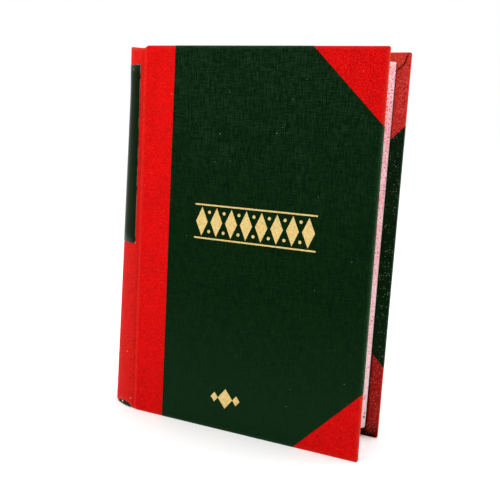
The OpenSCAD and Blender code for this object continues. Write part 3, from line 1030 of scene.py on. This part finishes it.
def around_spine(angle, radius, z):
    """A point at an angle around the spine's axis, where 0 is the middle of the back."""
    share = (z - cover_tail) / (cover_head - cover_tail)
    lean = LEAN_TAIL + (LEAN_HEAD - LEAN_TAIL) * share
    lean += HEAD_PULL * smooth((share - HEAD_PULL_FROM) / (1 - HEAD_PULL_FROM))
    wide = radius + SIDE_FLARE * smooth((abs(angle) - FLARE_FROM) / (math.pi / 2 - FLARE_FROM))
    return Vector((spine_axis - (wide + lean) * math.cos(angle), wide * math.sin(angle), z))


def spine_head(angle):
    """How high the spine's cloth stands at an angle."""
    return cover_head - HEAD_DIP + HEAD_CROWN * max(math.cos(angle), 0.0) ** HEAD_ROUND


def spine_tail(angle):
    """How low the spine's cloth hangs at an angle."""
    turn = -math.degrees(angle)
    lift = smooth((turn - LIFT_FROM) / LIFT_RISE) * (1 - smooth((turn - LIFT_UNTIL) / LIFT_FALL))
    return cover_tail + TAIL_LIP + TAIL_LIFT * lift


# %% Spine cloth and card
SPINE_STEPS = 96
HEIGHT_STEPS = 40
CAP_ROLL = 1.6 * MM
GROOVE_ROLL = 0.4 * MM
CAP_TUCK = 14 * MM
CARD_T = 1.1 * MM
CARD_GAP = 0.1 * MM
CARD_SHORT = 1.0 * MM
CARD_FOOT = 0.7 * MM
CARD_HALF = math.radians(86)
TO_THE_LEFT = Vector((-1, 0, 0))


def arc_angles(half, steps):
    return [half * (2 * k / steps - 1) for k in range(steps + 1)]


def spine_row(angle):
    """The spine's cloth at one angle. Its rolled ends grow thinner towards the grooves."""
    roll = GROOVE_ROLL + (CAP_ROLL - GROOVE_ROLL) * max(math.cos(angle), 0.0)
    path = cap_path(spine_tail(angle), spine_head(angle), roll, CAP_TUCK, HEIGHT_STEPS)
    return [around_spine(angle, spine_r - depth, z) for depth, z in path]


def card_row(angle):
    """The card under the spine's cloth at one angle."""
    low = cover_tail + CARD_FOOT
    high = spine_head(angle) - CARD_SHORT
    radius = spine_r - CLOTH_THICK - CARD_GAP
    heights = [low + (high - low) * k / HEIGHT_STEPS for k in range(HEIGHT_STEPS + 1)]
    return [around_spine(angle, radius, z) for z in heights]


cloth_rub = cap_rub(HEIGHT_STEPS)
spine_rows = [spine_row(angle) for angle in arc_angles(math.pi / 2, SPINE_STEPS)]
spine_skin = sheet_of_rows("spine_skin", spine_rows, TO_THE_LEFT, CLOTH_THICK, red_cloth, rub=cloth_rub)
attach(spine_skin, "text_block")
stands_for(spine_skin, "red_cloth", "spine_cloth")
card_rows = [card_row(angle) for angle in arc_angles(CARD_HALF, SPINE_STEPS)]
card_sheet = sheet_of_rows("spine_card_sheet", card_rows, TO_THE_LEFT, CARD_T, spine_card)
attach(card_sheet, "text_block")
stands_for(card_sheet, "greyboard", "spine_card")

# %% [markdown]
# The groove's cloth has to bend when a cover opens. It is made in two halves that meet on the slope of
# the groove. Seen from above, the groove is a soft step from the spine's side up to the board's face, and
# its last bit sinks into the strip on the board.

# %% Groove cloth
GROOVE_STEPS = 24
GROOVE_TOP = 0.9 * MM
GROOVE_REACH = 2.2 * MM
GROOVE_SINK = 0.2 * MM
groove_floor = spine_r + SIDE_FLARE
groove_head = spine_head(math.pi / 2)
groove_tail = spine_tail(math.pi / 2)


def groove_row(share, sign):
    """The groove's cloth at a share of its way from the spine to the board."""
    x = spine_axis + (hinge_edge + GROOVE_REACH - spine_axis) * share
    step = smooth((x - spine_axis) / (hinge_edge + GROOVE_TOP - spine_axis))
    sink = GROOVE_SINK * smooth((x - hinge_edge - GROOVE_TOP) / (GROOVE_REACH - GROOVE_TOP))
    out = groove_floor + (half_t - groove_floor) * step - sink
    head = groove_head + (cover_head - EDGE_ROUND - groove_head) * step
    tail = groove_tail + (cover_tail + EDGE_ROUND - groove_tail) * step
    path = cap_path(tail, head, GROOVE_ROLL, CAP_TUCK, HEIGHT_STEPS)
    return [Vector((x, sign * (out - depth), z)) for depth, z in path]


for side, sign in SIDES.items():
    half = GROOVE_STEPS // 2
    rows = [groove_row(k / GROOVE_STEPS, sign) for k in range(GROOVE_STEPS + 1)]
    halves = {
        "groove_inner_skin": (rows[:half + 1], "text_block", f"{side}_endleaf"),
        "groove_outer_skin": (rows[half:], f"{side}_endleaf", f"{side}_cover"),
    }
    for name, (part, first, second) in halves.items():
        outward = Vector((0, sign, 0))
        piece = sheet_of_rows(f"{side}_{name}", part, outward, CLOTH_THICK, red_cloth, rub=cloth_rub)
        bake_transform(piece)
        stands_for(piece, "red_cloth", f"{side}_joint_cloth")

# %% Spine label
LABEL_STEPS = 40
LABEL_ROWS = 20
LABEL_THICK = 0.3 * MM
label_r = spine_axis - label_low.x
label_angles = arc_angles(math.asin(label_high.y / label_r), LABEL_STEPS)
label_heights = [label_low.z + (label_high.z - label_low.z) * k / LABEL_ROWS for k in range(LABEL_ROWS + 1)]
label_rows = [[around_spine(angle, label_r, z) for z in label_heights] for angle in label_angles]
label_skin = sheet_of_rows("spine_label_skin", label_rows, TO_THE_LEFT, LABEL_THICK, label_cloth)
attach(label_skin, "text_block")
stands_for(label_skin, "label", "spine_label")

# %% [markdown]
# ## Leaves
# The block is 25 sewn sections of 20 leaves. Geometry Nodes suit it: one thin box is a leaf, a line of
# points stacks it, and a rule moves each leaf along the rounded back by its place in the stack. The tree
# also rounds each section's fold and shakes the leaves by a hair. The two outer pages of a stack are bare
# paper. All else takes the colour of the edges, because the stain crept in where the rounding bares a
# sliver of each leaf. The outermost sections turn with the covers, so their leaves have columns of points
# that crowd near the fold, where they bend. Last, the fore-edge is cut a hair out of square and sags at
# the tail, where the back leaves' corners are rubbed.

# %% A tree with named inputs
def new_tree(name, inputs):
    """A tree with one output and these named inputs, each with its kind and first value."""
    tree = bpy.data.node_groups.new(name, "GeometryNodeTree")
    tree.interface.new_socket("Geometry", in_out="OUTPUT", socket_type="NodeSocketGeometry")
    for key, (kind, value) in inputs.items():
        made = tree.interface.new_socket(key, in_out="INPUT", socket_type=f"NodeSocket{kind}")
        made.default_value = value
    return tree


def from_nodes(name, tree, inputs):
    """A piece made by a node tree: the inputs are set first, and only a plain mesh is left."""
    piece = shown(name, bpy.data.meshes.new(name))
    maker = piece.modifiers.new(tree.name, "NODES")
    maker.node_group = tree
    for socket in tree.interface.items_tree:
        if socket.name in inputs:
            maker[socket.identifier] = inputs[socket.name]
    finished(piece)
    if piece.data.materials[0] is None:
        piece.data.materials.pop(index=0)
    return piece


leaf_tree = new_tree("stacked_leaves", {
    "Leaves": ("Int", 20),
    "First": ("Vector", (0.0, 0.0, 0.0)),
    "Pitch": ("Float", 0.1 * MM),
    "Leaf Size": ("Vector", (0.2, 0.1 * MM, 0.3)),
    "Columns": ("Int", 2),
    "Back Radius": ("Float", 30 * MM),
    "Back Half": ("Float", 26 * MM),
    "Section": ("Float", 2 * MM),
    "Uneven": ("Vector", (0.1 * MM, 0.0, 0.1 * MM)),
    "Seed": ("Int", 7),
    "Edge": ("Material", page_edge),
    "Face": ("Material", leaf_paper),
})
print(leaf_tree.name, "has", len(leaf_tree.interface.items_tree), "sockets")

# %% Leaves in a stack
def drop_of_arc(tree, across, radius):
    """How far an arc of this radius falls behind its top, at a distance across."""
    share = add(tree, "ShaderNodeMath", (across, radius), operation="DIVIDE")
    slope = add(tree, "ShaderNodeMath", (share,), operation="ARCSINE")
    level = add(tree, "ShaderNodeMath", (slope,), operation="COSINE")
    sunk = add(tree, "ShaderNodeMath", (1.0, level), operation="SUBTRACT")
    return add(tree, "ShaderNodeMath", (sunk, radius), operation="MULTIPLY")


def single_leaf(tree, given, here):
    """A thin box whose columns of points crowd towards its fold."""
    leaf = add(tree, "GeometryNodeMeshCube", {"Size": given["Leaf Size"], "Vertices X": given["Columns"]})
    long = add(tree, "ShaderNodeSeparateXYZ", (given["Leaf Size"],)).outputs["X"]
    part = add(tree, "ShaderNodeMath", (here["X"], long), operation="DIVIDE")
    along = add(tree, "ShaderNodeMath", (part, 0.5), operation="ADD")
    crowded = add(tree, "ShaderNodeMath", (along, 2.0), operation="POWER")
    change = add(tree, "ShaderNodeMath", (crowded, along), operation="SUBTRACT")
    slide = add(tree, "ShaderNodeMath", (change, long), operation="MULTIPLY")
    offset = add(tree, "ShaderNodeCombineXYZ", {"X": slide})
    return add(tree, "GeometryNodeSetPosition", {"Geometry": leaf, "Offset": offset})


def stacked_leaves(tree, given, here):
    """Leaves along a line, each moved by the rounding of the back and shaken a hair."""
    step = add(tree, "ShaderNodeCombineXYZ", {"Y": given["Pitch"]})
    stack = add(tree, "GeometryNodeMeshLine",
                {"Count": given["Leaves"], "Start Location": given["First"], "Offset": step})
    placed = add(tree, "GeometryNodeInstanceOnPoints",
                 {"Points": stack, "Instance": single_leaf(tree, given, here)})
    outer = add(tree, "ShaderNodeMath", (here["Y"],), operation="ABSOLUTE")
    within = add(tree, "ShaderNodeMath", (outer, given["Back Half"]), operation="MINIMUM")
    arched = add(tree, "ShaderNodeCombineXYZ", {"X": drop_of_arc(tree, within, given["Back Radius"])})
    less = add(tree, "ShaderNodeVectorMath", {0: given["Uneven"], "Scale": -1.0}, operation="SCALE")
    shake = add(tree, "FunctionNodeRandomValue",
                {"Min": less, "Max": given["Uneven"], "Seed": given["Seed"]}, data_type="FLOAT_VECTOR")
    move = add(tree, "ShaderNodeVectorMath", (arched, shake), operation="ADD")
    moved = add(tree, "GeometryNodeTranslateInstances",
                {"Instances": placed, "Translation": move, "Local Space": False})
    return add(tree, "GeometryNodeRealizeInstances", {"Geometry": moved})


# %% Folds and colours of the leaves
def rounded_folds(tree, given, here, first, leaves):
    """Leaves whose inner edges are drawn in, so that each section has a round fold."""
    half = add(tree, "ShaderNodeMath", (given["Section"], 2.0), operation="DIVIDE")
    shifted = add(tree, "ShaderNodeMath", (here["Y"], half), operation="ADD")
    wrapped = add(tree, "ShaderNodeMath", (shifted, given["Section"]), operation="FLOORED_MODULO")
    local = add(tree, "ShaderNodeMath", (wrapped, half), operation="SUBTRACT")
    inwards = add(tree, "ShaderNodeCombineXYZ", {"X": drop_of_arc(tree, local, half)})
    at_back = add(tree, "FunctionNodeCompare", (here["X"], first["X"]),
                  data_type="FLOAT", operation="LESS_THAN")
    return add(tree, "GeometryNodeSetPosition",
               {"Geometry": leaves, "Selection": at_back, "Offset": inwards})


def coloured_leaves(tree, given, here, first, leaves):
    """Leaves with the colour of the edges all over, except on the two outer pages of the stack."""
    steps = add(tree, "ShaderNodeMath", (given["Leaves"], 1.0), operation="SUBTRACT")
    depth = add(tree, "ShaderNodeMath", (steps, given["Pitch"]), operation="MULTIPLY")
    halfway = add(tree, "ShaderNodeMath", (depth, 2.0), operation="DIVIDE")
    centre = add(tree, "ShaderNodeMath", (first["Y"], halfway), operation="ADD")
    aside = add(tree, "ShaderNodeMath", (here["Y"], centre), operation="SUBTRACT")
    away = add(tree, "ShaderNodeMath", (aside,), operation="ABSOLUTE")
    beyond = add(tree, "ShaderNodeMath", (away, halfway), operation="SUBTRACT")
    quarter = add(tree, "ShaderNodeMath", (given["Pitch"], 4.0), operation="DIVIDE")
    is_page = add(tree, "FunctionNodeCompare", (beyond, quarter), data_type="FLOAT", operation="GREATER_THAN")
    edges = add(tree, "GeometryNodeSetMaterial", {"Geometry": leaves, "Material": given["Edge"]})
    return add(tree, "GeometryNodeSetMaterial",
               {"Geometry": edges, "Selection": is_page, "Material": given["Face"]})


def build_leaf_tree(tree):
    given = add(tree, "NodeGroupInput").outputs
    here = add(tree, "ShaderNodeSeparateXYZ", (add(tree, "GeometryNodeInputPosition"),)).outputs
    first = add(tree, "ShaderNodeSeparateXYZ", (given["First"],)).outputs
    leaves = stacked_leaves(tree, given, here)
    leaves = rounded_folds(tree, given, here, first, leaves)
    add(tree, "NodeGroupOutput", (coloured_leaves(tree, given, here, first, leaves),))


build_leaf_tree(leaf_tree)
print(leaf_tree.name, "has", len(leaf_tree.nodes), "nodes")

# %% Measures of the sections
SECTIONS = 25
LEAVES_A_SECTION = 20


def section_node(k):
    return f"section_{k:02d}"


middle_low, middle_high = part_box(section_node((SECTIONS + 1) // 2))
middle_of_leaf = (middle_low + middle_high) / 2
leaf_mid = (middle_low.z + middle_high.z) / 2
leaf_half = middle_high.z - leaf_mid
first_low, first_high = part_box(section_node(1))
section_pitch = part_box(section_node(2))[0].y - first_low.y
fold_half = -(first_low.y + first_high.y) / 2
fold_rise = first_low.x - middle_low.x
fold_r = (fold_half ** 2 + fold_rise ** 2) / (2 * fold_rise)
print(f"section pitch {section_pitch:.5f} m, radius of the folds {fold_r:.4f} m")

# %% Sections of leaves
LEAF_COLUMNS = 30
LEAF_FILL = 0.94
LEAF_SHAKE = (0.08 * MM, 0.0, 0.08 * MM)
FORE_OUT_OF_SQUARE = 0.9 * MM
FORE_SAG = 1.4 * MM
CORNER_RUB = 1.9 * MM
RUBBED_FROM = 23 * MM


def bend_at_fold(piece):
    """Bakes a piece's placement into its points."""
    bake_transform(piece)


def trim_leaves(piece):
    """Moves the points of leaves as the knife and years of use left them."""
    for point in piece.data.vertices:
        place = point.co
        along = (place.x - leaf_start) / (leaf_end - leaf_start)
        up = (place.z - leaf_mid) / leaf_half
        rubbed = CORNER_RUB * smooth((place.y - RUBBED_FROM) / (half_t - cover_t - RUBBED_FROM))
        place.x += FORE_OUT_OF_SQUARE * along * up
        place.z += (rubbed - FORE_SAG) * along * max(-up, 0.0)


def leaves_piece(name, first, last, body):
    """The leaves of the sections from first to last as one piece, attached to the text block if they are in
    it.
    """
    in_block = body == "text_block"
    nodes = [section_node(k) for k in range(first, last + 1)]
    count = len(nodes) * LEAVES_A_SECTION
    low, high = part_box(nodes[0])[0].y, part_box(nodes[-1])[1].y
    pitch = (high - low) / count
    piece = from_nodes(name, leaf_tree, {
        "Leaves": count,
        "First": (middle_of_leaf.x, low + pitch / 2, middle_of_leaf.z),
        "Pitch": pitch,
        "Leaf Size": (middle_high.x - middle_low.x, pitch * LEAF_FILL, middle_high.z - middle_low.z),
        "Columns": 2 if in_block else LEAF_COLUMNS + 1,
        "Back Radius": fold_r,
        "Back Half": fold_half,
        "Section": section_pitch,
        "Uneven": LEAF_SHAKE,
        "Seed": first,
        "Edge": page_edge,
        "Face": leaf_paper,
    })
    trim_leaves(piece)
    if in_block:
        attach(piece, body)
    else:
        bend_at_fold(piece)
    stands_for(piece, "leaf_paper", *nodes)


leaves_piece("front_outer_leaves", 1, 1, "front_outer_section")
leaves_piece("block_leaves", 2, SECTIONS - 1, "text_block")
leaves_piece("back_outer_leaves", SECTIONS, SECTIONS, "back_outer_section")

# %% [markdown]
# The single leaves and the flyleaf turn with the covers. A leaf stays pasted at its inner edge and bends
# over a finger's breadth, and its columns of points lie close together there. A pastedown is glued to its
# board and ends a little short of the leaves, as paper does that was cut before pasting. When a cover is
# open, the red cloth of the joint shows between its pastedown and its flyleaf.

# %% Single leaves and flyleaves
LEAF_ROWS = 6
PAPER_THICK = 0.15 * MM
PASTEDOWN_SHORT = 2.5 * MM
SINGLE_LEAVES = {"flyleaf": "endleaf", "leaf_1": "turning_leaf_1", "leaf_2": "turning_leaf_2",
                 "leaf_3": "turning_leaf_3"}


def leaf_sheet(name, node, sign, short, *papers):
    """A flat sheet in the place of a node. Its columns crowd towards its inner edge, which isn't coloured."""
    low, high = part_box(node)
    face = low.y if sign < 0 else high.y
    heights = [low.z + (high.z - low.z) * j / LEAF_ROWS for j in range(LEAF_ROWS + 1)]
    rows = []
    for k in range(LEAF_COLUMNS + 1):
        x = low.x + (high.x - short - low.x) * (k / LEAF_COLUMNS) ** 2
        rows.append([Vector((x, face, z)) for z in heights])
    sheet = sheet_of_rows(name, rows, Vector((0, sign, 0)), PAPER_THICK, *papers)
    for edge in sheet.data.polygons:
        if edge.normal.x < -0.5:
            edge.material_index = 0
    return sheet


for side, sign in SIDES.items():
    for leaf, body in SINGLE_LEAVES.items():
        node = f"{side}_{leaf}"
        paper, slot = (endpaper, "endpaper") if leaf == "flyleaf" else (leaf_paper, "leaf_paper")
        piece = leaf_sheet(f"{node}_sheet", node, sign, 0.0, paper, page_edge)
        trim_leaves(piece)
        bend_at_fold(piece)
        stands_for(piece, slot, node)
    node = f"{side}_pastedown"
    piece = leaf_sheet(f"{node}_sheet", node, -sign, PASTEDOWN_SHORT, endpaper)
    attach(piece, f"{side}_cover")
    stands_for(piece, "endpaper", node)

# %% [markdown]
# ## Head band and tail band
# At each end of the folds sits a band: a cord with thread wound round it, in two colours by turns. One
# turn of thread is a small ring. Geometry Nodes bend a line along the folds, put a ring on each of its
# points, square to the line, and pick its colour by its number.

# %% The tree that winds a band
RING_CORNERS = 12
STRAND_CORNERS = 5
BAND_THREAD = 0.22 * MM
TURNS_OF_A_COLOUR = 6
red_silk = fibrous("red_silk_thread", "#8E1A20", "#C23A3E", 0.4, 0.6)

band_tree = new_tree("wound_band", {
    "Bend": ("Float", 30 * MM),
    "Start": ("Float", 2.0),
    "Sweep": ("Float", 2.0),
    "Middle": ("Vector", (0.0, 0.0, 0.0)),
    "Cord": ("Float", 1.0 * MM),
    "Thread": ("Float", 0.2 * MM),
    "Turns": ("Int", 100),
    "Turns of One Colour": ("Int", TURNS_OF_A_COLOUR),
    "First Colour": ("Material", thread_linen),
    "Second Colour": ("Material", red_silk),
})


def build_band_tree(tree):
    given = add(tree, "NodeGroupInput").outputs
    arc = add(tree, "GeometryNodeCurveArc",
              {"Radius": given["Bend"], "Start Angle": given["Start"], "Sweep Angle": given["Sweep"]})
    line = add(tree, "GeometryNodeTransform", {"Geometry": arc, "Translation": given["Middle"]})
    points = add(tree, "GeometryNodeResampleCurve", {"Curve": line, "Count": given["Turns"]})
    loop, strand = (add(tree, "GeometryNodeCurvePrimitiveCircle", {"Resolution": corners, "Radius": radius})
                    for corners, radius in ((RING_CORNERS, given["Cord"]), (STRAND_CORNERS, given["Thread"])))
    ring = add(tree, "GeometryNodeCurveToMesh", {"Curve": loop, "Profile Curve": strand})
    cord = add(tree, "GeometryNodeCurveToMesh", {"Curve": points, "Profile Curve": loop, "Fill Caps": True})
    along = add(tree, "GeometryNodeInputTangent")
    square = add(tree, "FunctionNodeAlignRotationToVector", {"Vector": along}, axis="Z")
    number = add(tree, "GeometryNodeInputIndex")
    of_one = given["Turns of One Colour"]
    pair = add(tree, "ShaderNodeMath", (of_one, 2.0), operation="MULTIPLY")
    place = add(tree, "ShaderNodeMath", (number, pair), operation="MODULO")
    is_first = add(tree, "FunctionNodeCompare", (place, of_one), data_type="FLOAT", operation="LESS_THAN")
    is_second = add(tree, "FunctionNodeBooleanMath", (is_first,), operation="NOT")
    joined = add(tree, "GeometryNodeJoinGeometry")
    for colour, chosen in (("First Colour", is_first), ("Second Colour", is_second)):
        rings = add(tree, "GeometryNodeInstanceOnPoints",
                    {"Points": points, "Selection": chosen, "Instance": ring, "Rotation": square})
        real = add(tree, "GeometryNodeRealizeInstances", {"Geometry": rings})
        fill(tree, joined, (add(tree, "GeometryNodeSetMaterial",
                                {"Geometry": real, "Material": given[colour]}),))
    plain = add(tree, "GeometryNodeSetMaterial", {"Geometry": cord, "Material": given["First Colour"]})
    fill(tree, joined, (plain,))
    add(tree, "NodeGroupOutput", (add(tree, "GeometryNodeSetShadeSmooth", {"Geometry": joined}),))


build_band_tree(band_tree)
print(band_tree.name, "has", len(band_tree.nodes), "nodes")

# %% Bands
for end in ("head", "tail"):
    low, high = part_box(f"{end}_band")
    band_r = (high.z - low.z) / 2
    half_angle = math.asin(high.y / (fold_r + band_r))
    piece = from_nodes(f"{end}_band_winding", band_tree, {
        "Bend": fold_r,
        "Start": math.pi - half_angle,
        "Sweep": 2 * half_angle,
        "Middle": (low.x + fold_r + band_r, 0.0, low.z + band_r),
        "Cord": band_r - BAND_THREAD,
        "Thread": BAND_THREAD,
        "Turns": round(2 * half_angle * fold_r / (2 * BAND_THREAD)),
        "Turns of One Colour": TURNS_OF_A_COLOUR,
        "First Colour": thread_linen,
        "Second Colour": red_silk,
    })
    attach(piece, "text_block")
    stands_for(piece, "band", f"{end}_band")

# %% [markdown]
# ## Parts that keep their modelled shape
# The tapes, thread, mull, lining and gilt have the right shape already. They only need their finishes.

# %% Finishes of the remaining nodes
NODE_FINISHES = {
    "front_gilt": gilt_foil,
    "spine_lining": lining_paper,
    "sewing_tapes": tape_cotton,
    "sewing_thread": thread_linen,
    "mull": mull_cotton,
}
for node, made in NODE_FINISHES.items():
    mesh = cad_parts[node].data
    mesh.materials.clear()
    mesh.materials.append(made)
print("finished:", ", ".join(NODE_FINISHES))
